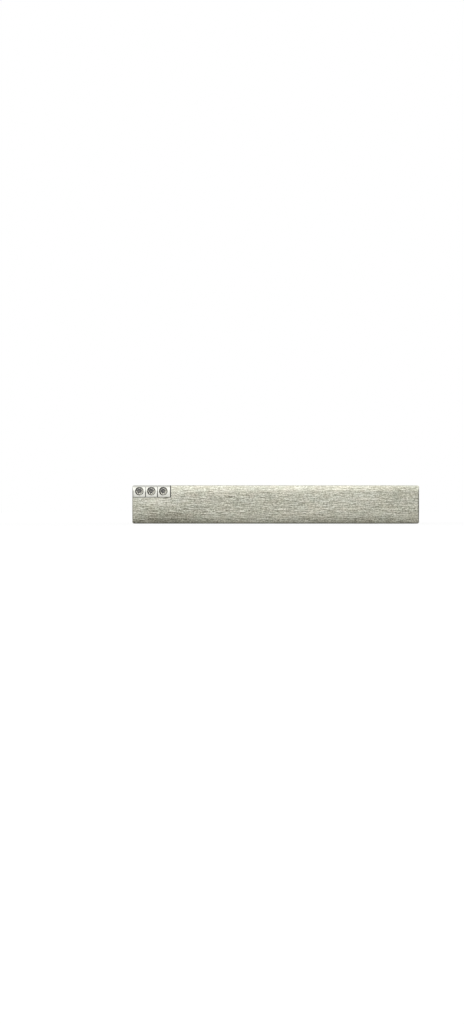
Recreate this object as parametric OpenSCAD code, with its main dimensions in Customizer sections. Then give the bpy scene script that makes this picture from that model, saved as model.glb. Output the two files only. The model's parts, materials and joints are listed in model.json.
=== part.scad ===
/* [Front bar] */
// Length of the bar from end to end
bar_length = 60; // [54:1:66]
// Height of the bar as it is worn
bar_height = 8; // [7:0.5:10]
// Thickness of the bar from front to back
bar_thickness = 1.4; // [1.2:0.1:2]
// Radius of the bar's four corners, seen from the front
bar_corner = 0.4; // [0.2:0.1:0.6]
// Width of the face that rolls over towards each long edge
roll_width = 2.2; // [0.4:0.1:2.4]
// Depth to which the long edges of the front roll
roll_depth = 0.45; // [0.2:0.05:0.55]
// Radius rolled onto the front edges of the two ends
end_roll = 0.4; // [0.2:0.1:0.6]
// Radius of the broken edges of the back
edge_break = 0.1; // [0.05:0.05:0.2]

/* [Crystal settings] */
// Distance from one crystal to the next, and from one gap between the squares to the next
square_pitch = 2.5; // [2.3:0.02:2.7]
// Length of the square at the end of the bar
first_square = 2.7; // [2.5:0.02:2.9]
// Length of the square next to the brushed bar
last_square = 2.55; // [2.3:0.02:2.7]
// Height of each polished square
square_height = 2.42; // [2.3:0.02:2.8]
// Depth of the squares, let into the front of the bar
square_depth = 0.9; // [0.85:0.05:1]
// Gap between one square and the next
square_gap = 0.16; // [0.1:0.02:0.24]
// Gap between the last square and the bar
end_gap = 0.2; // [0.1:0.02:0.3]
// Gap between the squares and the bar below them
foot_gap = 0.12; // [0.06:0.02:0.2]
// Distance of the first crystal's axis from the end of the bar
crystal_inset = 1.48; // [1.4:0.02:1.6]
// Diameter of each crystal at its girdle
crystal_diameter = 1.7; // [1.4:0.1:1.9]
// Depth of the crystals' tables below the face
crystal_recess = 0.08; // [0.04:0.01:0.1]

/* [Hinge] */
// Distance of the pin's axis from the tail end of the bar
pin_inset = 11.5; // [11:0.5:14]
// Height of the pin's axis over the back of the bar
pin_height = 2.7; // [2.5:0.1:3.2]
// Diameter of the pin
pin_diameter = 1.2; // [1:0.1:1.4]
// Diameter of the pin's peened heads
head_diameter = 2; // [1.8:0.1:2.4]
// Height of the pin's peened heads
head_height = 0.35; // [0.25:0.05:0.45]
// Length of the bracket's foot along the bar
foot_length = 9; // [8.5:0.5:11]
// Width across the outside of the bracket's ears
bracket_width = 4.4; // [4.1:0.1:5]
// Thickness of the bracket's sheet
bracket_sheet = 0.5; // [0.4:0.05:0.6]
// Radius of the bracket's ears round the pin
bracket_ear = 1.3; // [1.2:0.05:1.5]
// Radius of the four corners of the bracket's foot
foot_corner = 0.7; // [0.2:0.1:0.9]

/* [Jaw arm] */
// Distance of the arm's tip from the free end of the bar
tip_inset = 4; // [3:0.5:6]
// Length of the jaw that lies flat along the bar
jaw_length = 12; // [10:0.5:14]
// Width of the jaw across its two rows of teeth
jaw_width = 4.8; // [4.2:0.1:5.6]
// Depth of the arm's channel over its sheet
channel_depth = 1.45; // [1.3:0.05:1.8]
// Thickness of the arm's sheet
arm_sheet = 0.5; // [0.4:0.05:0.6]
// Inside radius of the arm's two long folds
fold_inside = 0.2; // [0.1:0.05:0.3]
// Radius of the arm's ears round the pin
arm_ear = 1.7; // [1.5:0.05:1.9]
// Length of one tooth along the jaw
tooth_pitch = 0.8; // [0.6:0.05:1.2]
// Depth of the teeth
tooth_depth = 0.35; // [0.2:0.05:0.5]
// Angle of the lever to the bar
lever_angle = 20; // [16:1:24]
// Radius of the bend where the lever rises
lever_bend = 6; // [4:0.5:8]
// Distance of the lever's end short of the bar's tail end
lever_inset = 0.6; // [0.4:0.1:2]
// Radius of the lever's two corners
lever_corner = 1.4; // [1:0.1:1.8]
// Distance from one thumb ridge to the next
ridge_pitch = 1.1; // [1:0.1:1.3]
// Radius of the thumb ridges
ridge_radius = 0.2; // [0.15:0.05:0.3]

/* [Spring] */
// Diameter of the spring's wire
wire = 0.45; // [0.4:0.01:0.5]
// Clear gap between neighbouring turns
turn_gap = 0.5; // [0.44:0.02:0.54]
// Length of the leg that lies under the lever, from the pin's axis
lever_leg = 7.4; // [6:0.2:8]
// Length of the flat toe at the end of the leg on the bracket's foot
foot_toe = 1.3; // [1:0.1:1.6]

/* [Clearances] */
// Radial clearance of the pin in the bracket
pin_fit = 0.02; // [0.01:0.01:0.04]
// Radial clearance of the pin in the arm
arm_fit = 0.04; // [0.02:0.01:0.08]
// Clearance between the arm's ears and the bracket on each side
side_fit = 0.1; // [0.06:0.01:0.2]
// Clearance between the arm and the pin's heads
head_fit = 0.06; // [0.04:0.01:0.12]
// Clearance between the arm's web and the bracket's ears
web_fit = 0.15; // [0.12:0.01:0.25]
// Clearance between the jaw's teeth and the bar at rest
bite_fit = 0.05; // [0.02:0.01:0.1]
// Clearance of the spring's legs from what they press on
leg_fit = 0.05; // [0.03:0.01:0.08]
// Clearance of the crystals in their seats
crystal_fit = 0.03; // [0.02:0.01:0.04]

/* [Hidden] */
// One overrun serves every cut
over = 0.3;
// Straight steps in a quarter turn of an edge, in a long edge's roll, and in a half turn of an ear
edge_steps = 6;
roll_steps = 12;
ear_steps = 12;

// The bar: +X runs to the tail end, +Z is up, and the front looks along -Y
bar_end = bar_length / 2;
bar_top = bar_height / 2;

// The squares fill a seat at the free end's upper corner
square_starts = [
    -bar_end,
    -bar_end + first_square + square_gap,
    -bar_end + first_square + square_gap + square_pitch
];
square_lengths = [first_square, square_pitch - square_gap, last_square];
seat_end = square_starts[2] + last_square + end_gap;
seat_height = square_height + foot_gap;
square_middle = bar_top - square_height / 2;

// A crystal's cut, as shares of its diameter
table_share = 0.56;
star_share = 0.78;
crown_share = 0.12;
star_height_share = 0.6;
girdle_share = 0.024;
pavilion_share = 0.27;
culet_share = 0.1;
facets = 8;
crown_height = crown_share * crystal_diameter;
girdle_height = girdle_share * crystal_diameter;
pavilion_height = pavilion_share * crystal_diameter;
// Thickness of the flat lands that the facets run between
land = 0.01;

// The hinge's axis runs along Z
pin_x = bar_end - pin_inset;
bracket_fold = 0.2;
// Length of bare foot past each end of the bracket's ears
foot_lip = 1;

// The arm's channel closes round the bracket
arm_width = bracket_width + 2 * (side_fit + arm_sheet);
tip_x = -bar_end + tip_inset;
nose_length = 2;
nose_drop = 1;
fold_outside = fold_inside + arm_sheet;
// The web's outer face lies this high over the bar, along the jaw and over the pin
jaw_top = bite_fit + channel_depth;
hinge_top = pin_height + bracket_ear + web_fit + arm_sheet;
// The web bends up from the jaw and bows over to lie level at the hinge
dip_radius = 10;
level_ahead = 2;
level_behind = 1.2;
dip_x = tip_x + jaw_length;
level_x = pin_x - level_ahead;
swing = 2 * atan((hinge_top - jaw_top) / (level_x - dip_x));
bow_radius = (level_x - dip_x) / sin(swing) - dip_radius;
bow_x = dip_x + dip_radius * sin(swing);
// Then it bends up again into the lever
bend_x = pin_x + level_behind;
lever_x = bend_x + lever_bend * sin(lever_angle);
lever_end = bar_end - lever_inset;
lever_run = lever_end - lever_x;
// The flanges run out to nothing at this share of the lever
flange_share = 0.5;
flange_end = lever_x + flange_share * lever_run;
// The width narrows from the hinge to the jaw between these two places
taper_x = pin_x - level_ahead - arm_ear;
// Most of a section's height or half width that a fold may take
fold_share = 0.7;
// Neighbouring sections of the arm lie at least this far apart
least_step = 0.04;
nose_steps = 12;
bend_steps = 4;
bow_steps = 10;

// The teeth start behind the nose and stop short of the bend
tooth_start = nose_length + tooth_pitch / 2;
tooth_share = 0.8;
tooth_count = floor((jaw_length - tooth_start) / tooth_pitch);

// The window over the spring, and the ridges under the thumb
window_length = 3.2;
window_width = 3.2;
window_corner = 0.4;
ridge_count = 4;
ridge_inset = 1.3;
ridge_edge = 0.3;

// The coil's mean radius lets its leg run straight out under the web
coil_radius = hinge_top - arm_sheet - leg_fit - wire / 2 - pin_height;
foot_leg_y = bracket_sheet + leg_fit + wire / 2;
foot_leg_end = foot_length / 2 - foot_lip / 2;
foot_leg_knee = foot_leg_end - foot_toe;
whole_turns = 2;
turn_steps = 8;
wire_sides = 6;

// Points on an oval arc about [x, y], from one angle to another
function oval_arc(x, y, rx, ry, from, to, steps) = [
    for (i = [0 : steps])
        let (a = from + (to - from) * i / steps)
        [x + rx * cos(a), y + ry * sin(a)]
];

// Points on a round arc
function arc(x, y, r, from, to, steps) = oval_arc(x, y, r, r, from, to, steps);

// A rectangle whose two low corners roll over wide by deep, and whose high corners have a radius
function rolled(x0, x1, y0, y1, wide, deep, high, steps) = concat(
    oval_arc(x0 + wide, y0 + deep, wide, deep, 180, 270, steps),
    oval_arc(x1 - wide, y0 + deep, wide, deep, 270, 360, steps),
    arc(x1 - high, y1 - high, high, 0, 90, edge_steps),
    arc(x0 + high, y1 - high, high, 90, 180, edge_steps)
);

// A rectangle with one radius on its two low corners and another on its two high corners
function rounded(x0, x1, y0, y1, low, high) =
    rolled(x0, x1, y0, y1, low, low, high, edge_steps);

// The angle on a circle of radius r at which a line from [x, y] touches it
function touch_angle(x, y, r, side) = atan2(y, x) + side * acos(r / norm([x, y]));

// The numbers of a list in rising order, less any that crowd their neighbour
function sorted(v) = len(v) < 2 ? v : let (
    first = v[0],
    rest = [for (i = [1 : len(v) - 1]) v[i]]
) concat(
    sorted([for (n = rest) if (n < first - least_step) n]),
    [first],
    sorted([for (n = rest) if (n > first + least_step) n])
);

// A closed solid through rings that all have the same number of points
module loft(rings) {
    count = len(rings[0]);
    last = len(rings) - 1;
    points = [for (ring = rings) each ring];
    walls = [
        for (i = [0 : last - 1], j = [0 : count - 1])
            let (a = i * count + j, b = i * count + (j + 1) % count)
            each [[a, b, b + count], [a, b + count, a + count]]
    ];
    end = last * count;
    start_cap = [for (j = [1 : count - 2]) [0, j + 1, j]];
    end_cap = [for (j = [1 : count - 2]) [end, end + j, end + j + 1]];
    polyhedron(points, concat(walls, start_cap, end_cap));
}

// The height of the arm's web over the bar at x, to its outer face
function web_top(x) =
    x < dip_x ? jaw_top
    : x < bow_x ? jaw_top + dip_radius - sqrt(pow(dip_radius, 2) - pow(x - dip_x, 2))
    : x < level_x ? hinge_top - bow_radius + sqrt(pow(bow_radius, 2) - pow(level_x - x, 2))
    : x < bend_x ? hinge_top
    : x < lever_x ? hinge_top + lever_bend - sqrt(pow(lever_bend, 2) - pow(x - bend_x, 2))
    : hinge_top + lever_bend * (1 - cos(lever_angle)) + (x - lever_x) * tan(lever_angle);

// The web's slope at x
function web_slope(x) =
    x < dip_x ? 0
    : x < bow_x ? asin((x - dip_x) / dip_radius)
    : x < level_x ? asin((level_x - x) / bow_radius)
    : x < bend_x ? 0
    : x < lever_x ? asin((x - bend_x) / lever_bend)
    : lever_angle;

// How deep the channel is at x: its flanges run out along the lever
function channel_at(x) =
    let (run = (x - lever_x) / (flange_end - lever_x))
    channel_depth + (arm_sheet - channel_depth) * max(0, min(1, run));

// The height of the flanges' lower edges at x, where the ears dip round the pin
function lower_edge(x) =
    let (
        flange = web_top(x) - channel_at(x) / cos(web_slope(x)),
        away = abs(x - pin_x),
        ear = away < arm_ear * sin(45)
            ? pin_height - sqrt(pow(arm_ear, 2) - pow(away, 2))
            : pin_height - arm_ear / sin(45) + away
    )
    min(flange, ear);

// Half the arm's width at x, inset by one sheet for the channel's inside
function half_width(x, inset) =
    let (
        narrowing = max(0, min(1, (taper_x - x) / (taper_x - dip_x))),
        full = (arm_width + (jaw_width - arm_width) * narrowing) / 2 - inset,
        nose = (tip_x + nose_length - x) / (nose_length - inset),
        corner = x - (lever_end - lever_corner)
    )
    nose > 0 ? full * sqrt(1 - pow(nose, 2))
    : corner > 0 ? full - lever_corner + sqrt(pow(lever_corner, 2) - pow(corner, 2))
    : full;

// The top of a section at x: it drops round the nose
function section_top(x, inset) =
    let (
        full = web_top(x) - inset / cos(web_slope(x)),
        drop = (tip_x + nose_drop - x) / (nose_drop - inset)
    )
    drop > 0 ? bite_fit + (full - bite_fit) * sqrt(1 - pow(drop, 2)) : full;

// One section of the arm across its length, with its two long edges folded over
function section(x, inset, fold, low) =
    let (
        half = half_width(x, inset),
        top = section_top(x, inset),
        r = min(fold, fold_share * (top - low), fold_share * half),
        side = arc(top - r, half - r, r, 90, 0, edge_steps)
    )
    concat(
        [[x, low, half]],
        [for (p = side) [x, p[0], p[1]]],
        [for (i = [edge_steps : -1 : 0]) [x, side[i][0], -side[i][1]]],
        [[x, low, -half]]
    );

// The places along the arm where its outline turns
function arm_places(inset) = sorted(concat(
    [for (i = [1 : nose_steps])
        tip_x + inset + (nose_length - inset) * (1 - cos(90 * i / nose_steps))],
    [for (i = [0 : bend_steps]) dip_x + dip_radius * sin(swing * i / bend_steps)],
    [for (i = [1 : bow_steps]) level_x - bow_radius * sin(swing * (1 - i / bow_steps))],
    [taper_x, pin_x, bend_x, flange_end],
    [for (i = [0 : ear_steps / 2]) pin_x + arm_ear * sin(45) * (4 * i / ear_steps - 1)],
    [for (side = [-1, 1])
        pin_x + side * (hinge_top - channel_depth - pin_height + arm_ear / sin(45))],
    [for (i = [1 : bend_steps]) bend_x + lever_bend * sin(lever_angle * i / bend_steps)],
    [for (i = [0 : edge_steps]) lever_end - lever_corner * (1 - sin(90 * i / edge_steps))]
));

// The spring's path: the leg on the foot, the turns round the pin, the leg under the lever
coil_start = touch_angle(foot_leg_knee, foot_leg_y - pin_height, coil_radius, -1);
coil_sweep = coil_start + 270 + 360 * whole_turns;
coil_half = (wire + turn_gap) * coil_sweep / 360 / 2;
coil_rings = ceil(turn_steps * coil_sweep / 360);
lever_leg_places = concat(
    [bend_x],
    [for (i = [1 : bend_steps]) bend_x + lever_bend * sin(lever_angle * i / bend_steps)],
    [pin_x + lever_leg - wire, pin_x + lever_leg]
);
coil_path = [
    for (i = [0 : coil_rings])
        let (a = coil_start - coil_sweep * i / coil_rings)
        [pin_x + coil_radius * cos(a), pin_height + coil_radius * sin(a),
            coil_half * (2 * i / coil_rings - 1)]
];
spring_path = concat(
    [
        [pin_x + foot_leg_end, foot_leg_y, -coil_half],
        [pin_x + foot_leg_end - wire, foot_leg_y, -coil_half],
        [pin_x + foot_leg_knee, foot_leg_y, -coil_half]
    ],
    coil_path,
    [for (x = lever_leg_places)
        [x, web_top(x) - (arm_sheet + leg_fit + wire / 2) / cos(web_slope(x)), coil_half]]
);

// One ring of wire round a point of the path, square to the path there
function wire_ring(path, i) =
    let (
        before = path[max(0, i - 1)],
        after = path[min(len(path) - 1, i + 1)],
        along = (after - before) / norm(after - before),
        outward = cross(along, [0, 0, 1]),
        u = outward / norm(outward),
        v = cross(u, along)
    )
    [for (k = [0 : wire_sides - 1])
        let (a = 360 * k / wire_sides)
        path[i] + wire / 2 * (u * cos(a) + v * sin(a))];

// The least clear gap between one turn and the next, measured between points a turn apart
least_turn_gap = min([
    for (i = [0 : coil_rings], j = [0 : coil_rings])
        if (j > i + turn_steps / 2) norm(coil_path[j] - coil_path[i]) - wire
]);
echo(least_gap_in_spring = least_turn_gap);

// The bar's whole outline, before the seat is cut
module bar_blank() {
    intersection() {
        rotate([90, 0, 0])
            linear_extrude(bar_thickness)
            polygon(rounded(-bar_end, bar_end, -bar_top, bar_top, bar_corner, bar_corner));
        translate([bar_end + over, 0, 0])
            rotate([0, -90, 0])
            linear_extrude(bar_length + 2 * over)
            polygon(rolled(-bar_top, bar_top, -bar_thickness, 0,
                roll_width, roll_depth, edge_break, roll_steps));
        translate([0, 0, -bar_top - over])
            linear_extrude(bar_height + 2 * over)
            polygon(rounded(-bar_end, bar_end, -bar_thickness, 0, end_roll, edge_break));
    }
}

module face_bar() {
    color([0.72, 0.72, 0.66])
    difference() {
        bar_blank();
        translate([-bar_end - over, -bar_thickness - over, bar_top - seat_height])
            cube([seat_end + bar_end + over, square_depth + over, seat_height + over]);
    }
}

// A square of the bar's own outline, with a seat that fits its crystal
module setting(place) {
    low = place == 0 ? over : 0;
    color([0.9, 0.9, 0.88])
    difference() {
        intersection() {
            bar_blank();
            translate([square_starts[place] - low, -bar_thickness - over, bar_top - square_height])
                cube([square_lengths[place] + low, square_depth + over, square_height + over]);
        }
        crystal_place(place)
            crystal_seat();
    }
}

module setting_left() {
    setting(0);
}

module setting_middle() {
    setting(1);
}

module setting_right() {
    setting(2);
}

// Puts a crystal's own axis, +Z out of its table, square to the front of its setting
module crystal_place(place) {
    translate([
        -bar_end + crystal_inset + place * square_pitch,
        -bar_thickness + crystal_recess + crown_height,
        square_middle
    ])
        rotate([90, 0, 0])
        children();
}

// The seat: a straight wall down to the girdle, then a cone under the pavilion
module crystal_seat() {
    wide = crystal_diameter / 2 + crystal_fit;
    narrow = culet_share * crystal_diameter + crystal_fit;
    floor_z = -girdle_height - pavilion_height - crystal_fit;
    translate([0, 0, -girdle_height])
        cylinder(h = girdle_height + crown_height + crystal_recess + over, r = wide, $fn = 48);
    translate([0, 0, floor_z])
        cylinder(h = -girdle_height - floor_z, r1 = narrow, r2 = wide, $fn = 48);
}

// A round crystal: table, star and kite facets over the girdle, and a flat-tipped pavilion
module crystal() {
    color([0.78, 0.83, 0.86])
    hull() {
        translate([0, 0, crown_height - land])
            cylinder(h = land, d = table_share * crystal_diameter, $fn = facets);
        translate([0, 0, star_height_share * crown_height])
            rotate([0, 0, 180 / facets])
            cylinder(h = land, d = star_share * crystal_diameter, $fn = facets);
        translate([0, 0, -girdle_height])
            cylinder(h = girdle_height, d = crystal_diameter, $fn = 2 * facets);
        translate([0, 0, -girdle_height - pavilion_height])
            cylinder(h = land, d = 2 * culet_share * crystal_diameter, $fn = facets);
    }
}

module crystal_left() {
    crystal_place(0)
        crystal();
}

module crystal_middle() {
    crystal_place(1)
        crystal();
}

module crystal_right() {
    crystal_place(2)
        crystal();
}

// A U of sheet on the bar's back: a foot, and two ears that narrow to the pin
module hinge_bracket() {
    half_foot = foot_length / 2;
    flank = half_foot - foot_lip;
    touch = touch_angle(flank, bracket_sheet - pin_height, bracket_ear, 1);
    half = bracket_width / 2;
    ear_top = pin_height + bracket_ear + over;
    color([0.78, 0.78, 0.76])
    difference() {
        intersection() {
            translate([pin_x, ear_top, 0])
                rotate([90, 0, 0])
                linear_extrude(ear_top + over)
                polygon(rounded(-half_foot, half_foot, -half, half, foot_corner, foot_corner));
            translate([pin_x, 0, -half - over])
                linear_extrude(bracket_width + 2 * over)
                polygon(concat(
                    [[-half_foot, 0], [half_foot, 0], [half_foot, bracket_sheet]],
                    [[flank, bracket_sheet]],
                    arc(0, pin_height, bracket_ear, touch, 180 - touch, ear_steps),
                    [[-flank, bracket_sheet], [-half_foot, bracket_sheet]]
                ));
            translate([pin_x + half_foot + over, 0, 0])
                rotate([0, -90, 0])
                linear_extrude(foot_length + 2 * over)
                difference() {
                    polygon(rounded(-half, half, 0, ear_top + over,
                        bracket_fold + bracket_sheet, bracket_fold));
                    polygon(rounded(-half + bracket_sheet, half - bracket_sheet,
                        bracket_sheet, ear_top + 2 * over, bracket_fold, bracket_fold));
                }
        }
        hinge_axis(bracket_width + 2 * over)
            cylinder(h = bracket_width + 2 * over, r = pin_diameter / 2 + pin_fit, $fn = 48);
    }
}

// Puts a cylinder that stands on the origin along the hinge's axis, centred on the bar
module hinge_axis(length) {
    translate([pin_x, pin_height, -length / 2])
        children();
}

// The pin, with a domed head peened over at each end
module hinge_pin() {
    shank = arm_width + 2 * head_fit;
    bulge = (pow(head_diameter / 2, 2) + pow(head_height, 2)) / (2 * head_height);
    half_angle = asin(head_diameter / 2 / bulge);
    color([0.8, 0.8, 0.79])
    hinge_axis(shank)
    rotate_extrude($fn = 48)
        polygon(concat(
            [[0, -head_height]],
            [for (p = arc(0, bulge - head_height, bulge, -90, -90 + half_angle, edge_steps))
                if (p[0] > land) p],
            [[pin_diameter / 2, 0], [pin_diameter / 2, shank]],
            [for (p = arc(0, shank + head_height - bulge, bulge, 90 - half_angle, 90, edge_steps))
                if (p[0] > land) p],
            [[0, shank + head_height]]
        ));
}

// The arm: a folded channel, toothed at the jaw, on its ears at the pin, and a lever behind
module jaw_arm() {
    outer = arm_places(0);
    inner = concat(
        [for (x = arm_places(arm_sheet)) if (x < flange_end - 2 * least_step) x],
        [flange_end - least_step]
    );
    color([0.78, 0.78, 0.76])
    difference() {
        union() {
            loft([for (x = outer) section(x, 0, fold_outside, lower_edge(x))]);
            for (i = [0 : ridge_count - 1])
                thumb_ridge(lever_end - ridge_inset - i * ridge_pitch * cos(lever_angle));
        }
        loft([for (x = inner) section(x, arm_sheet, fold_inside, lower_edge(x) - over)]);
        hinge_axis(arm_width + 2 * over)
            cylinder(h = arm_width + 2 * over, r = pin_diameter / 2 + arm_fit, $fn = 48);
        for (i = [0 : tooth_count - 1])
            tooth_notch(tip_x + tooth_start + i * tooth_pitch);
        spring_window();
    }
}

// One notch between two teeth, through both flanges
module tooth_notch(x) {
    half = tooth_share * tooth_pitch / 2;
    translate([x, bite_fit, -arm_width / 2])
        linear_extrude(arm_width)
        polygon([[-half, -over], [half, -over], [half, 0], [0, tooth_depth], [-half, 0]]);
}

// A round-ended ridge across the lever's outer face
module thumb_ridge(x) {
    half = arm_width / 2 - fold_outside - ridge_edge;
    translate([x, web_top(x), -half])
        cylinder(h = 2 * half, r = ridge_radius, $fn = 32);
    for (side = [-1, 1])
        translate([x, web_top(x), side * half])
            sphere(r = ridge_radius, $fn = 32);
}

// The window through the web over the turns of the spring
module spring_window() {
    half = window_length / 2;
    translate([pin_x, pin_height + bracket_ear + web_fit - over, 0])
        rotate([-90, 0, 0])
        linear_extrude(arm_sheet + 3 * over)
        polygon(rounded(-half, half, -window_width / 2, window_width / 2,
            window_corner, window_corner));
}

module torsion_spring() {
    color([0.66, 0.67, 0.68])
    loft([for (i = [0 : len(spring_path) - 1]) wire_ring(spring_path, i)]);
}

face_bar();
setting_left();
setting_middle();
setting_right();
crystal_left();
crystal_middle();
crystal_right();
hinge_bracket();
hinge_pin();
jaw_arm();
torsion_spring();
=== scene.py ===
"""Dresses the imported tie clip: brushed bar, polished squares, cut crystals, plated clasp, wound spring."""

import json
import math

import bpy
from mathutils import Matrix, Vector


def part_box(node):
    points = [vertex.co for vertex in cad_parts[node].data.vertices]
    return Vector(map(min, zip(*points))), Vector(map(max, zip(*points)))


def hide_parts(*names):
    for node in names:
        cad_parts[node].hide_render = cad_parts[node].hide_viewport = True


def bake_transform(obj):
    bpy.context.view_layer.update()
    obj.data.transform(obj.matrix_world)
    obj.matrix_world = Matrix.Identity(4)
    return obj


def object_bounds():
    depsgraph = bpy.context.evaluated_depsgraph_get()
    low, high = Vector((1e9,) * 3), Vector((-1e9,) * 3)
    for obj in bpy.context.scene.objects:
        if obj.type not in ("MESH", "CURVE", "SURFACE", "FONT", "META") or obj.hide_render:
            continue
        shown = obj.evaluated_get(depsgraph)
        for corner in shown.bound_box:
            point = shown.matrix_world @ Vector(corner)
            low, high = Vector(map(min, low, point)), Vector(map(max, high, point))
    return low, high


MM = 0.001
# Pitch of the brushing, in mm: one pixel of the photograph at the clip's front
BRUSH_ROW = 0.2091
# Share of a pitch by which the brushed lines lie off the origin, so that each falls in one row of pixels
BRUSH_PHASE = 0.557
# Step in the noise from one brushed line to the next, far enough that neighbours differ
LINE_APART = 1.37
# How fast an edge counts as worn as the normal turns
EDGE_GAIN = 3.0
# Colour of the stain in the bar's crevices, and of the painted highlight at the upper ends of two gaps,
# which stands in for light falling in from above
STAIN = (0.03, 0.029, 0.024)
GAP_GLINT = (0.95, 0.95, 0.92)
# The rounding of the metal pieces' edges, in mm, and the steepest fold in degrees that is shaded smooth
EDGE_BREAK = 0.03
SMOOTH_ANGLE = 32

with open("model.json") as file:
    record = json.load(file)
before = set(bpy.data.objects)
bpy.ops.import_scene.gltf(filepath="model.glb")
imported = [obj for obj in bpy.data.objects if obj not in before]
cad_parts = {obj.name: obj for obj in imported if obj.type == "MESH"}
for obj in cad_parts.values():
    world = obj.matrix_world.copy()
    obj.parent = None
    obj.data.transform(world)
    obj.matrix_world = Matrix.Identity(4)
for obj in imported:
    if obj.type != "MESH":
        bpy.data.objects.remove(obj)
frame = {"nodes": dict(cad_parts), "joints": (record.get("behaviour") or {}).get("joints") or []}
cad_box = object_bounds()
nodes = frame["nodes"]
hinge = next(j for j in frame["joints"] if j["name"] == "jaw_pinch")
# Place of the bar's front along Y, in mm
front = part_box("face_bar")[0].y / MM


# Helpers for shader and geometry nodes


def new_node(tree, kind, inputs=None, **settings):
    """A node with its properties set, and its inputs set to values or linked to sockets."""
    node = tree.nodes.new(kind)
    for name, value in settings.items():
        setattr(node, name, value)
    for key, value in (inputs or {}).items():
        if isinstance(value, bpy.types.NodeSocket):
            tree.links.new(value, node.inputs[key])
        else:
            node.inputs[key].default_value = value
    return node


def math_node(tree, operation, *values):
    """The result of one math operation on sockets or numbers."""
    return new_node(
        tree, "ShaderNodeMath", operation=operation, inputs=dict(enumerate(values))
    ).outputs[0]


def place_on_piece(tree):
    """The place on the piece in metres, as X, Y and Z."""
    where = new_node(tree, "ShaderNodeTexCoord").outputs["Object"]
    return new_node(tree, "ShaderNodeSeparateXYZ", inputs={0: where}).outputs


def stretched_noise(tree, lengths, detail=2.0, shift=(0, 0, 0)):
    """Noise from 0 to 1 whose marks are about lengths mm long along X, Y and Z of the piece."""
    where = new_node(tree, "ShaderNodeTexCoord").outputs["Object"]
    scale = [1 / (MM * length) for length in lengths]
    mapping = new_node(
        tree, "ShaderNodeMapping", inputs={"Vector": where, "Location": shift, "Scale": scale}
    )
    return new_node(
        tree,
        "ShaderNodeTexNoise",
        inputs={"Vector": mapping.outputs[0], "Scale": 1.0, "Detail": detail},
    ).outputs[0]


def brushed_lines(tree, length, pitch, shift):
    """Noise from 0 to 1 in straight lines along X, pitch mm apart, with strokes about length mm long."""
    along, rows = brush_rows(tree, length, pitch)
    return row_noise(tree, along, rows, shift)


def scratches_lit_and_shaded(tree, length, pitch, shift):
    """Like brushed_lines, but each stroke is a pair of lines, one as dark as the other is bright: a painted
    shadow side and a painted highlight side on each scratch.
    """
    along, rows = brush_rows(tree, length, pitch)
    pairs, side = [], 1.0
    for row in rows:
        pair = math_node(tree, "FLOOR", math_node(tree, "MULTIPLY", row, 0.5))
        odd = math_node(tree, "MULTIPLY_ADD", pair, -2.0, row)
        side = math_node(tree, "MULTIPLY", side, math_node(tree, "MULTIPLY_ADD", odd, -2.0, 1.0))
        pairs.append(pair)
    noise = row_noise(tree, along, pairs, shift)
    return math_node(tree, "MULTIPLY_ADD", math_node(tree, "SUBTRACT", noise, 0.5), side, 0.5)


def brush_rows(tree, length, pitch):
    """The place along X in strokes of length mm, and the numbers of the lines across Y and Z."""
    parts = place_on_piece(tree)
    along = math_node(tree, "DIVIDE", parts["X"], length * MM)
    rows = []
    for axis in "YZ":
        place = math_node(tree, "MULTIPLY_ADD", parts[axis], 1 / (pitch * MM), BRUSH_PHASE)
        rows.append(math_node(tree, "FLOOR", place))
    return along, rows


def row_noise(tree, along, rows, shift):
    """Noise along X that differs from one line to the next."""
    apart = [math_node(tree, "MULTIPLY_ADD", row, LINE_APART, shift) for row in rows]
    spread = new_node(
        tree, "ShaderNodeCombineXYZ", inputs={0: along, 1: apart[0], 2: apart[1]}
    ).outputs[0]
    return new_node(
        tree,
        "ShaderNodeTexNoise",
        inputs={"Vector": spread, "Scale": 1.0, "Detail": 1.0},
    ).outputs[0]


def soft_spot(tree, place, reach):
    """1 at place, in mm, fading to 0 at reach mm from it along X, Y and Z."""
    where = new_node(tree, "ShaderNodeTexCoord").outputs["Object"]
    mapping = new_node(
        tree,
        "ShaderNodeMapping",
        inputs={
            "Vector": where,
            "Location": [-at / far for at, far in zip(place, reach)],
            "Scale": [1 / (MM * far) for far in reach],
        },
    )
    away = new_node(
        tree, "ShaderNodeVectorMath", operation="LENGTH", inputs={0: mapping.outputs[0]}
    ).outputs["Value"]
    return between(tree, smooth_step(tree, away, 0.0, 1.0), 1.0, 0.0)


def weighted_sum(tree, parts):
    """0.5 plus each noise's distance from 0.5 times its weight."""
    total = 0.5
    for socket, weight in parts:
        offset = math_node(tree, "SUBTRACT", socket, 0.5)
        total = math_node(tree, "MULTIPLY_ADD", offset, weight, total)
    return total


def ramp(tree, factor, stops):
    """A colour ramp with (position, linear colour) stops."""
    node = new_node(tree, "ShaderNodeValToRGB", inputs={0: factor})
    elements = node.color_ramp.elements
    while len(elements) < len(stops):
        elements.new(0.5)
    for element, (position, colour) in zip(elements, stops):
        element.position = position
        element.color = (*colour, 1)
    return node.outputs[0]


def mixed(tree, factor, low, high):
    """The colour between low and high at factor."""
    node = new_node(tree, "ShaderNodeMix", data_type="RGBA", inputs={0: factor})
    for index, value in ((6, low), (7, high)):
        if isinstance(value, bpy.types.NodeSocket):
            tree.links.new(value, node.inputs[index])
        else:
            node.inputs[index].default_value = (*value, 1)
    return node.outputs[2]


def between(tree, factor, low, high):
    """A number that runs from low to high as factor runs from 0 to 1."""
    return new_node(
        tree, "ShaderNodeMapRange", inputs={"Value": factor, "To Min": low, "To Max": high}
    ).outputs[0]


def smooth_step(tree, value, low, high):
    """0 below low and 1 above high, with a soft run between."""
    return new_node(
        tree,
        "ShaderNodeMapRange",
        interpolation_type="SMOOTHSTEP",
        inputs={"Value": value, "From Min": low, "From Max": high},
    ).outputs[0]


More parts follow.
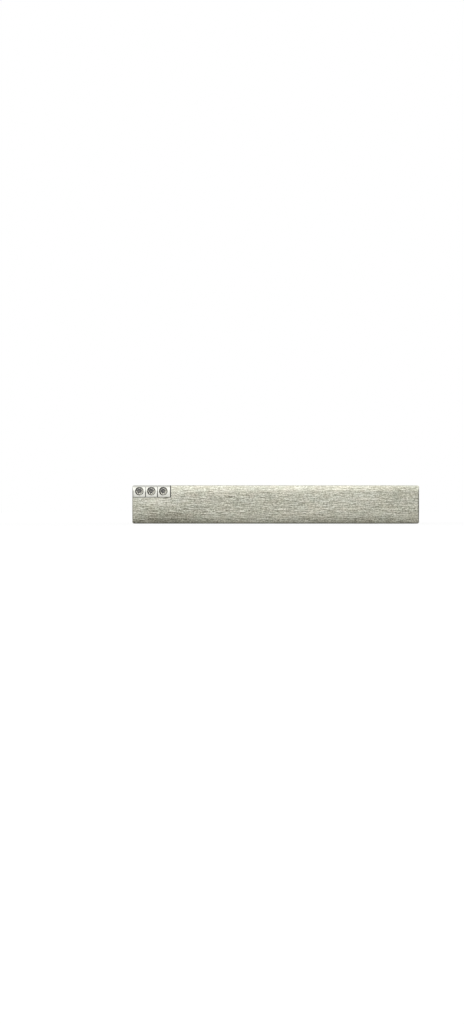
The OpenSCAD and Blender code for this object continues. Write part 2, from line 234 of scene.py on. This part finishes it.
def material(name):
    """A new material: itself, its tree and its Principled shader."""
    made = bpy.data.materials.new(name)
    made.use_nodes = True
    tree = made.node_tree
    return made, tree, tree.nodes["Principled BSDF"]


def crevice(tree, reach):
    """1 in the open and towards 0 in gaps narrower than reach mm."""
    return new_node(
        tree, "ShaderNodeAmbientOcclusion", samples=8, inputs={"Distance": reach * MM}
    ).outputs["AO"]


def worn_edge(tree, radius, gain):
    """0 on flat metal and 1 on its edges, found where a rounding by radius mm turns the normal."""
    soft = new_node(tree, "ShaderNodeBevel", samples=4, inputs={"Radius": radius * MM}).outputs[0]
    hard = new_node(tree, "ShaderNodeNewGeometry").outputs["Normal"]
    same = new_node(
        tree, "ShaderNodeVectorMath", operation="DOT_PRODUCT", inputs={0: soft, 1: hard}
    ).outputs["Value"]
    turned = math_node(tree, "SUBTRACT", 1.0, same)
    return math_node(tree, "MINIMUM", math_node(tree, "MULTIPLY", turned, gain), 1.0)


def bump(tree, height, distance):
    """A normal bumped by height, distance mm deep."""
    return new_node(
        tree, "ShaderNodeBump", inputs={"Height": height, "Distance": distance * MM}
    ).outputs[0]


def facing_back(tree):
    """-1 where a piece of the bar faces the front, 0 on its narrow sides and 1 where it faces the back."""
    normal = new_node(tree, "ShaderNodeTexCoord").outputs["Normal"]
    return new_node(tree, "ShaderNodeSeparateXYZ", inputs={0: normal}).outputs["Y"]


def calmer_marks(tree, tone, rolled, back, upper):
    """The tone, with its marks weakened by the share rolled off the flat front, by back behind, and by
    upper along the front's upper edge."""
    depth = facing_back(tree)
    # Where depth starts to count, and counts in full, as rolled and as back
    flat, turned = -0.99, -0.85
    side, behind = -0.2, 0.4
    kept = math_node(
        tree,
        "MULTIPLY",
        between(tree, smooth_step(tree, depth, flat, turned), 1.0, 1 - rolled),
        between(tree, smooth_step(tree, depth, side, behind), 1.0, 1 - back),
    )
    band = soft_spot(tree, place=(0, front, 3.3), reach=(200, 12, 1.3))
    kept = math_node(tree, "MULTIPLY", kept, between(tree, band, 1.0, 1 - upper))
    return math_node(tree, "MULTIPLY_ADD", math_node(tree, "SUBTRACT", tone, 0.5), kept, 0.5)


def painted_side_shade(tree, colour, share, steep, shallow):
    """The colour, darkened by share as painted shade where the surface turns from the front or back to a
    narrow side.
    The part of its normal along Y is steep where it is darkest, and shallow where that starts."""
    depth = facing_back(tree)
    facing = smooth_step(tree, math_node(tree, "ABSOLUTE", depth), steep, shallow)
    kept = between(tree, facing, 1 - share, 1.0)
    return new_node(
        tree, "ShaderNodeVectorMath", operation="SCALE", inputs={0: colour, "Scale": kept}
    ).outputs[0]


def tinted(tree, colour, patches):
    """The colour times a tint that runs from cool to warm in each of the patches."""
    for noise, cool, warm in patches:
        tint = mixed(tree, noise, cool, warm)
        colour = new_node(
            tree, "ShaderNodeVectorMath", operation="MULTIPLY", inputs={0: colour, 1: tint}
        ).outputs[0]
    return colour


def metal(tree, shader, tone, stops, roughness, stain, depth, wear=None, dull=None, patches=()):
    """Sets a metal's colour, roughness and bump from its tone. roughness is at tone 0 and at tone 1, and
    depth is the bump's in mm. stain is the reach in mm, the power and the colour of its crevices, and
    wear the radius in mm, the share and the colour of its worn edges. dull is the painted shade that
    painted_side_shade takes, and patches what tinted takes."""
    colour = tinted(tree, ramp(tree, tone, stops), patches)
    # Painted shade where the surface turns from the front or back to a narrow side
    if dull:
        colour = painted_side_shade(tree, colour, *dull)
    if wear:
        radius, share, bright = wear
        edge = math_node(tree, "MULTIPLY", worn_edge(tree, radius, EDGE_GAIN), share)
        colour = mixed(tree, edge, colour, bright)
    reach, power, dark = stain
    colour = mixed(tree, math_node(tree, "POWER", crevice(tree, reach), power), dark, colour)
    tree.links.new(colour, shader.inputs["Base Color"])
    shader.inputs["Metallic"].default_value = 1.0
    tree.links.new(between(tree, tone, *roughness), shader.inputs["Roughness"])
    tree.links.new(bump(tree, tone, depth), shader.inputs["Normal"])


# Materials


def gap_stain_and_glint(tree):
    """The stain in the bar's crevices: nearly black, but with a painted highlight, for light falling in from
    above, at the upper ends of the first two gaps between the squares."""
    parts = place_on_piece(tree)
    half_width = 0.5
    glint_share = 0.0
    # The place of each gap along X, and the heights where its painted highlight starts and is full, in mm
    for gap, low, high in ((-27.22, 2.4, 2.9), (-24.72, 1.9, 3.6)):
        aside = math_node(tree, "ABSOLUTE", math_node(tree, "SUBTRACT", parts["X"], gap * MM))
        inside = math_node(tree, "LESS_THAN", aside, half_width * MM)
        up = smooth_step(tree, parts["Z"], low * MM, high * MM)
        glint_share = math_node(tree, "MULTIPLY_ADD", inside, up, glint_share)
    # Painted highlight at the upper ends of two gaps, laid over the stain
    return mixed(tree, glint_share, STAIN, GAP_GLINT)


def satin_silver():
    """Silver plate brushed along the bar, brighter and duller at the places of the photograph."""
    made, tree, shader = material("satin_silver")
    # Each layer of marks and its weight: the brushing, then a grain and slow changes
    tone = weighted_sum(
        tree,
        (
            (brushed_lines(tree, 2.0, BRUSH_ROW / 2, shift=0.5), 0.65),
            # Scratches with a painted highlight side and a painted shadow side
            (scratches_lit_and_shaded(tree, 1.8, BRUSH_ROW, shift=0.9), 1.0),
            (brushed_lines(tree, 0.7, BRUSH_ROW / 3, shift=0.3), 0.9),
            (brushed_lines(tree, 1.2, 0.04, shift=0.9), 0.8),
            (stretched_noise(tree, (0.3, 0.17, 0.17), detail=1.0), 1.6),
            (stretched_noise(tree, (9.0, 3.0, 3.0), detail=1.0, shift=(4, 8, 1)), 0.25),
        ),
    )
    tone = calmer_marks(tree, tone, rolled=0.4, back=0.4, upper=0.3)
    # Each spot's centre and reach in mm, and the change of tone at its centre
    spots = (
        ((0, front, 4), (200, 12, 8), 0.12),  # upper edge: painted light from above, lighter towards the top
        ((-26, front, 0.9), (8, 1.5, 1.8), 0.2),  # under the squares
        ((-23, -1.2, -3), (11, 1.5, 4), -0.16),  # lower left corner
        ((-23.1, front, 1.27), (0.85, 1, 0.25), -0.6),  # dark mark under the third square
        ((26, front, 3.3), (14, 2, 0.8), -0.14),  # upper edge at the tail
        ((30, front, -0.8), (0.35, 0.5, 5.5), -0.85),  # painted dark reflection on the rolled edge of the tail's end
    )
    for place, reach, change in spots:
        tone = math_node(tree, "MULTIPLY_ADD", soft_spot(tree, place, reach), change, tone)
    wide = stretched_noise(tree, (3.0, 1.5, 1.5), shift=(2, 5, 7))
    narrow = stretched_noise(tree, (1.5, 1.0, 1.0), shift=(7, 3, 2))
    stops = (
        (0.0, (0.2, 0.196, 0.152)),
        (0.55, (0.53, 0.522, 0.428)),
        (1.0, (0.87, 0.865, 0.76)),
    )
    metal(
        tree,
        shader,
        tone,
        stops,
        roughness=(0.55, 0.3),
        stain=(0.35, 1.5, gap_stain_and_glint(tree)),
        depth=0.006,
        wear=(0.12, 0.35, (0.72, 0.71, 0.64)),
        # Painted shade on the bar's narrow sides, rolled edges and ends
        dull=(0.5, 0.3, 0.9),
        patches=(
            (wide, (0.965, 1.0, 1.04), (1.035, 1.0, 0.96)),
            (narrow, (0.98, 1.02, 1.0), (1.02, 0.98, 1.0)),
        ),
    )
    return made


def polished_silver():
    """Bright polished plate with faint buffing lines, and painted shade down its sides and rolled edges that
    damps their highlight.
    """
    made, tree, shader = material("polished_silver")
    tone = weighted_sum(
        tree,
        (
            (stretched_noise(tree, (0.5, 0.1, 0.35), detail=3.0), 0.5),
            (stretched_noise(tree, (0.5, 0.5, 0.5), shift=(2, 6, 3)), 0.7),
        ),
    )
    stops = (
        (0.25, (0.69, 0.69, 0.625)),
        (0.5, (0.82, 0.82, 0.75)),
        (0.8, (0.9, 0.9, 0.84)),
    )
    metal(
        tree,
        shader,
        tone,
        stops,
        roughness=(0.38, 0.26),
        stain=(0.35, 1.6, gap_stain_and_glint(tree)),
        depth=0.006,
        # Painted shade on the rolled edges and sides, damping their highlight
        dull=(0.5, 0.92, 0.998),
    )
    return made


def foiled_crystal():
    """Clear cut glass, a little warm, over its dark seat."""
    made, _, shader = material("foiled_crystal")
    shader.inputs["Base Color"].default_value = (0.98, 0.96, 0.83, 1)
    shader.inputs["Transmission Weight"].default_value = 1.0
    shader.inputs["IOR"].default_value = 1.9
    shader.inputs["Roughness"].default_value = 0.0
    return made


def plated_steel(name, mark_lengths):
    """Nickel-plated steel: faint drawn lines, tumbled speckle, dull crevices and bright worn edges."""
    made, tree, shader = material(name)
    tone = weighted_sum(
        tree,
        (
            (stretched_noise(tree, mark_lengths, detail=3.0), 0.7),
            (stretched_noise(tree, (0.35, 0.35, 0.35), shift=(5, 1, 8)), 0.5),
            (stretched_noise(tree, (3.5, 3.5, 3.5), shift=(1, 9, 4)), 0.6),
        ),
    )
    stops = (
        (0.2, (0.43, 0.425, 0.4)),
        (0.5, (0.56, 0.555, 0.525)),
        (0.8, (0.68, 0.675, 0.64)),
    )
    metal(
        tree,
        shader,
        tone,
        stops,
        roughness=(0.36, 0.2),
        stain=(0.6, 1.2, (0.07, 0.065, 0.055)),
        depth=0.008,
        wear=(0.1, 0.5, (0.82, 0.81, 0.77)),
    )
    return made


# Geometry


def edge_finish(angle):
    """A node group that welds a CAD mesh and shades it smooth across edges flatter than angle degrees."""
    weld = 0.001
    tree = bpy.data.node_groups.new("edge_finish", "GeometryNodeTree")
    for direction in ("INPUT", "OUTPUT"):
        tree.interface.new_socket("Geometry", in_out=direction, socket_type="NodeSocketGeometry")
    source = tree.nodes.new("NodeGroupInput")
    sink = tree.nodes.new("NodeGroupOutput")
    plain = new_node(
        tree,
        "GeometryNodeRemoveAttribute",
        inputs={"Geometry": source.outputs[0], "Name": "custom_normal"},
    )
    welded = new_node(
        tree,
        "GeometryNodeMergeByDistance",
        inputs={"Geometry": plain.outputs[0], "Distance": weld * MM},
    )
    faces = new_node(
        tree, "GeometryNodeSetShadeSmooth", domain="FACE", inputs={"Geometry": welded.outputs[0]}
    )
    fold = new_node(tree, "GeometryNodeInputMeshEdgeAngle").outputs["Unsigned Angle"]
    flat_enough = new_node(
        tree,
        "FunctionNodeCompare",
        data_type="FLOAT",
        operation="LESS_THAN",
        inputs={0: fold, 1: math.radians(angle)},
    )
    edges = new_node(
        tree,
        "GeometryNodeSetShadeSmooth",
        domain="EDGE",
        inputs={"Geometry": faces.outputs[0], "Shade Smooth": flat_enough.outputs[0]},
    )
    tree.links.new(edges.outputs[0], sink.inputs[0])
    return tree


def bevel(piece, width):
    """Rounds the piece's edges by width mm."""
    rounding = piece.modifiers.new("bevel", "BEVEL")
    rounding.width = width * MM
    rounding.segments = 3
    rounding.limit_method = "ANGLE"
    rounding.angle_limit = math.radians(40)
    rounding.harden_normals = True


def dress(name, finish, group=None, width=0.0):
    """Gives a CAD node its material, with a group its smooth shading, and with a width its bevelled edges.
    """
    piece = nodes[name]
    piece.data.materials.clear()
    piece.data.materials.append(finish)
    if group:
        piece.modifiers.new("finish", "NODES").node_group = group
    if width:
        bevel(piece, width)


def new_piece(name, points, faces, finish):
    """A smooth mesh object from points in mm."""
    mesh = bpy.data.meshes.new(name)
    mesh.from_pydata([Vector(p) * MM for p in points], [], faces)
    mesh.shade_smooth()
    mesh.materials.append(finish)
    piece = bpy.data.objects.new(name, mesh)
    bpy.context.scene.collection.objects.link(piece)
    return piece


def tube(name, path, radius, sides, finish):
    """A round wire along path, in mm, with softly broken ends."""
    ends = 0.2 * radius
    stations = [(path[0], radius - ends)]
    first = (path[1] - path[0]).normalized()
    last = (path[-1] - path[-2]).normalized()
    stations += [(path[0] + first * ends, radius)]
    stations += [(point, radius) for point in path[1:-1]]
    stations += [(path[-1] - last * ends, radius), (path[-1], radius - ends)]
    points, faces = [], []
    side = first.orthogonal().normalized()
    for i, (point, r) in enumerate(stations):
        before = stations[max(0, i - 1)][0]
        after = stations[min(len(stations) - 1, i + 1)][0]
        along = (after - before).normalized()
        side = (side - along * side.dot(along)).normalized()
        other = along.cross(side)
        for k in range(sides):
            a = math.tau * k / sides
            points.append(point + r * (side * math.cos(a) + other * math.sin(a)))
    for i in range(len(stations) - 1):
        for k in range(sides):
            a, b = i * sides + k, i * sides + (k + 1) % sides
            faces.append((a, b, b + sides, a + sides))
    faces.append(tuple(reversed(range(sides))))
    faces.append(tuple(range(len(points) - sides, len(points))))
    return new_piece(name, points, faces, finish)


# The spring


def foot_leg(toe, knee, touch):
    """The leg on the foot: a flat toe, a bend at the knee and a straight run to the turns."""
    bend, steps = 0.45, 8
    before = knee + (toe - knee).normalized() * bend
    after = knee + (touch - knee).normalized() * bend
    leg = [toe]
    for i in range(steps + 1):
        t = i / steps
        leg.append(before * (1 - t) ** 2 + 2 * knee * t * (1 - t) + after * t**2)
    return leg


def spring_path():
    """The spring's centreline in mm: a leg on the foot, the turns round the pin, a leg under the lever.
    Its sizes are those of the CAD spring. Its places along X are counted from the pin's axis."""
    wire, turn_gap, whole_turns, turn_steps = 0.45, 0.5, 2, 48
    sheet, leg_fit, ear, web_fit = 0.5, 0.05, 1.3, 0.15
    bend_start, bend_radius, lever_angle = 1.2, 6.0, math.radians(20)
    foot_end, foot_toe = 4.0, 1.3
    lever_leg, leg_steps = 7.4, 20
    pin = Vector(hinge["pos_m"]) / MM
    radius = ear + web_fit - leg_fit - wire / 2
    foot_y = sheet + leg_fit + wire / 2
    knee = Vector((foot_end - foot_toe, foot_y - pin.y))
    start = math.atan2(knee.y, knee.x) - math.acos(radius / knee.length)
    sweep = start + 1.5 * math.pi + math.tau * whole_turns
    half = (wire + turn_gap) * sweep / math.tau / 2
    touch = Vector((math.cos(start), math.sin(start))) * radius
    leg = foot_leg(Vector((foot_end, knee.y)), knee, touch)
    path = [Vector((pin.x + p.x, pin.y + p.y, -half)) for p in leg]
    count = math.ceil(turn_steps * sweep / math.tau)
    for i in range(count + 1):
        a = start - sweep * i / count
        path.append(
            Vector(
                (
                    pin.x + radius * math.cos(a),
                    pin.y + radius * math.sin(a),
                    half * (2 * i / count - 1),
                )
            )
        )
    lift = wire / 2 + leg_fit
    outer = pin.y + ear + web_fit + sheet
    bend_end = bend_start + bend_radius * math.sin(lever_angle)
    for i in range(1, leg_steps + 1):
        x = lever_leg * i / leg_steps
        if x < bend_start:
            y, slope = outer, 0
        elif x < bend_end:
            y = outer + bend_radius - math.sqrt(bend_radius**2 - (x - bend_start) ** 2)
            slope = math.asin((x - bend_start) / bend_radius)
        else:
            y = outer + bend_radius * (1 - math.cos(lever_angle))
            y += (x - bend_end) * math.tan(lever_angle)
            slope = lever_angle
        path.append(Vector((pin.x + x, y - (sheet + lift) / math.cos(slope), half)))
    return path, half, wire


def wound_spring(finish):
    """The spring as smooth round wire, put in place of the CAD spring, which is hidden."""
    path, half, wire = spring_path()
    sides = 16
    piece = tube("spring_wire", path, wire / 2, sides, finish)
    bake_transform(piece)
    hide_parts("torsion_spring")


# Camera, light and stage


def make_camera():
    """A long lens square on to the front, aimed as the photograph is framed. frame_height is what the
    photograph's height spans at the clip's front, and aim the place at its middle."""
    frame_height = 214.1 * MM
    aim = Vector((-9.14, front, -1.58)) * MM
    data = bpy.data.cameras.new("camera")
    data.lens = 100
    data.sensor_width = 36
    camera = bpy.data.objects.new("camera", data)
    bpy.context.scene.collection.objects.link(camera)
    distance = frame_height * data.lens / data.sensor_width
    camera.location = aim - Vector((0, distance, 0))
    camera.rotation_euler = (math.radians(90), 0, 0)
    data.clip_start, data.clip_end = 0.01, 20
    bpy.context.scene.camera = camera


def softbox(name, place, size, radiance):
    """A square area light aimed at the clip, its place and size in metres. radiance is its brightness
    where white is 1."""
    data = bpy.data.lights.new(name, "AREA")
    data.shape = "SQUARE"
    data.size = size
    data.energy = radiance * math.pi * size**2
    lamp = bpy.data.objects.new(name, data)
    bpy.context.scene.collection.objects.link(lamp)
    lamp.location = place
    lamp.rotation_mode = "QUATERNION"
    lamp.rotation_quaternion = (-Vector(place)).to_track_quat("-Z", "Y")


def make_world(fill, dim):
    """A white backdrop for the camera and glass, over a fill of the given strength. Metal mirrors the
    backdrop too, but only at the strength dim in the part that lies before the tail end."""
    world = bpy.data.worlds.new("studio")
    bpy.context.scene.world = world
    world.use_nodes = True
    tree = world.node_tree
    tree.nodes.clear()
    path = new_node(tree, "ShaderNodeLightPath").outputs
    where = new_node(tree, "ShaderNodeTexCoord").outputs["Generated"]
    way = new_node(tree, "ShaderNodeSeparateXYZ", inputs={0: where}).outputs
    # A direction's X and Y between which the dimmer part sets in
    near_side, far_side = 0.2, 0.8
    full, none = -0.3, 0.1
    aside = smooth_step(tree, way["X"], near_side, far_side)
    before = between(tree, smooth_step(tree, way["Y"], full, none), 1.0, 0.0)
    mirrored = between(tree, math_node(tree, "MULTIPLY", aside, before), 1.0, dim)
    more = math_node(tree, "SUBTRACT", mirrored, fill)
    strength = math_node(tree, "MULTIPLY_ADD", path["Is Glossy Ray"], more, fill)
    seen = math_node(tree, "MAXIMUM", path["Is Camera Ray"], path["Is Transmission Ray"])
    light = new_node(
        tree,
        "ShaderNodeBackground",
        inputs={"Color": (1, 1, 1, 1), "Strength": math_node(tree, "MAXIMUM", strength, seen)},
    )
    out = tree.nodes.new("ShaderNodeOutputWorld")
    tree.links.new(light.outputs[0], out.inputs[0])


def make_floor(drop, shade, near, far, mirrored):
    """A pale floor, drop mm under the clip, seen from above only. It has the colour shade, and a glow
    that lifts it to the backdrop's white: by near round the clip and far away from it for the camera
    and glass, and by the mirrored share of that for metal."""
    half, clip_zone, far_zone = 5000, 100, 450
    height = cad_box[0].z / MM - drop
    corners = [(-half, -half), (half, -half), (half, half), (-half, half)]
    made, tree, shader = material("pale_floor")
    tree.nodes.remove(shader)
    diffuse = new_node(tree, "ShaderNodeBsdfDiffuse", inputs={"Color": (shade, shade, shade, 1)})
    glow = new_node(tree, "ShaderNodeEmission", inputs={"Color": (1, 1, 1, 1)})
    place = new_node(tree, "ShaderNodeNewGeometry").outputs["Position"]
    away = new_node(
        tree, "ShaderNodeVectorMath", operation="LENGTH", inputs={0: place}
    ).outputs["Value"]
    lift = between(tree, smooth_step(tree, away, clip_zone * MM, far_zone * MM), near, far)
    path = new_node(tree, "ShaderNodeLightPath").outputs
    seen = math_node(tree, "MAXIMUM", path["Is Camera Ray"], path["Is Transmission Ray"])
    glossy = math_node(tree, "MULTIPLY", path["Is Glossy Ray"], mirrored)
    seen = math_node(tree, "MAXIMUM", seen, glossy)
    tree.links.new(math_node(tree, "MULTIPLY", seen, lift), glow.inputs["Strength"])
    above = new_node(
        tree, "ShaderNodeAddShader", inputs={0: diffuse.outputs[0], 1: glow.outputs[0]}
    )
    below = tree.nodes.new("ShaderNodeBsdfTransparent")
    under = new_node(tree, "ShaderNodeNewGeometry").outputs["Backfacing"]
    both = new_node(
        tree,
        "ShaderNodeMixShader",
        inputs={0: under, 1: above.outputs[0], 2: below.outputs[0]},
    )
    tree.links.new(both.outputs[0], tree.nodes["Material Output"].inputs[0])
    floor = new_piece("floor", [(x, y, height) for x, y in corners], [(0, 1, 2, 3)], made)


# The scene


bpy.context.scene.view_settings.view_transform = "Standard"
make_camera()
make_world(fill=0.8, dim=0.3)
softbox("key", place=(0.05, -0.3, 0.3), size=0.5, radiance=0.56)
softbox("back_light", place=(-0.12, 0.3, 0.26), size=0.3, radiance=0.8)
make_floor(drop=0.05, shade=0.55, near=0.45, far=0.6, mirrored=0.25)

smooth = edge_finish(SMOOTH_ANGLE)
dress("face_bar", satin_silver(), smooth, EDGE_BREAK)
polished = polished_silver()
glass = foiled_crystal()
for place in ("left", "middle", "right"):
    dress(f"setting_{place}", polished, smooth, EDGE_BREAK)
    dress(f"crystal_{place}", glass)
sheet_finish = plated_steel("plated_sheet", mark_lengths=(1.6, 0.2, 0.2))
dress("hinge_bracket", sheet_finish, smooth, EDGE_BREAK)
dress("jaw_arm", sheet_finish, smooth, EDGE_BREAK)
dress("hinge_pin", plated_steel("plated_pin", mark_lengths=(0.3, 0.3, 0.3)), smooth)
wound_spring(plated_steel("spring_steel", mark_lengths=(0.3, 0.3, 0.3)))
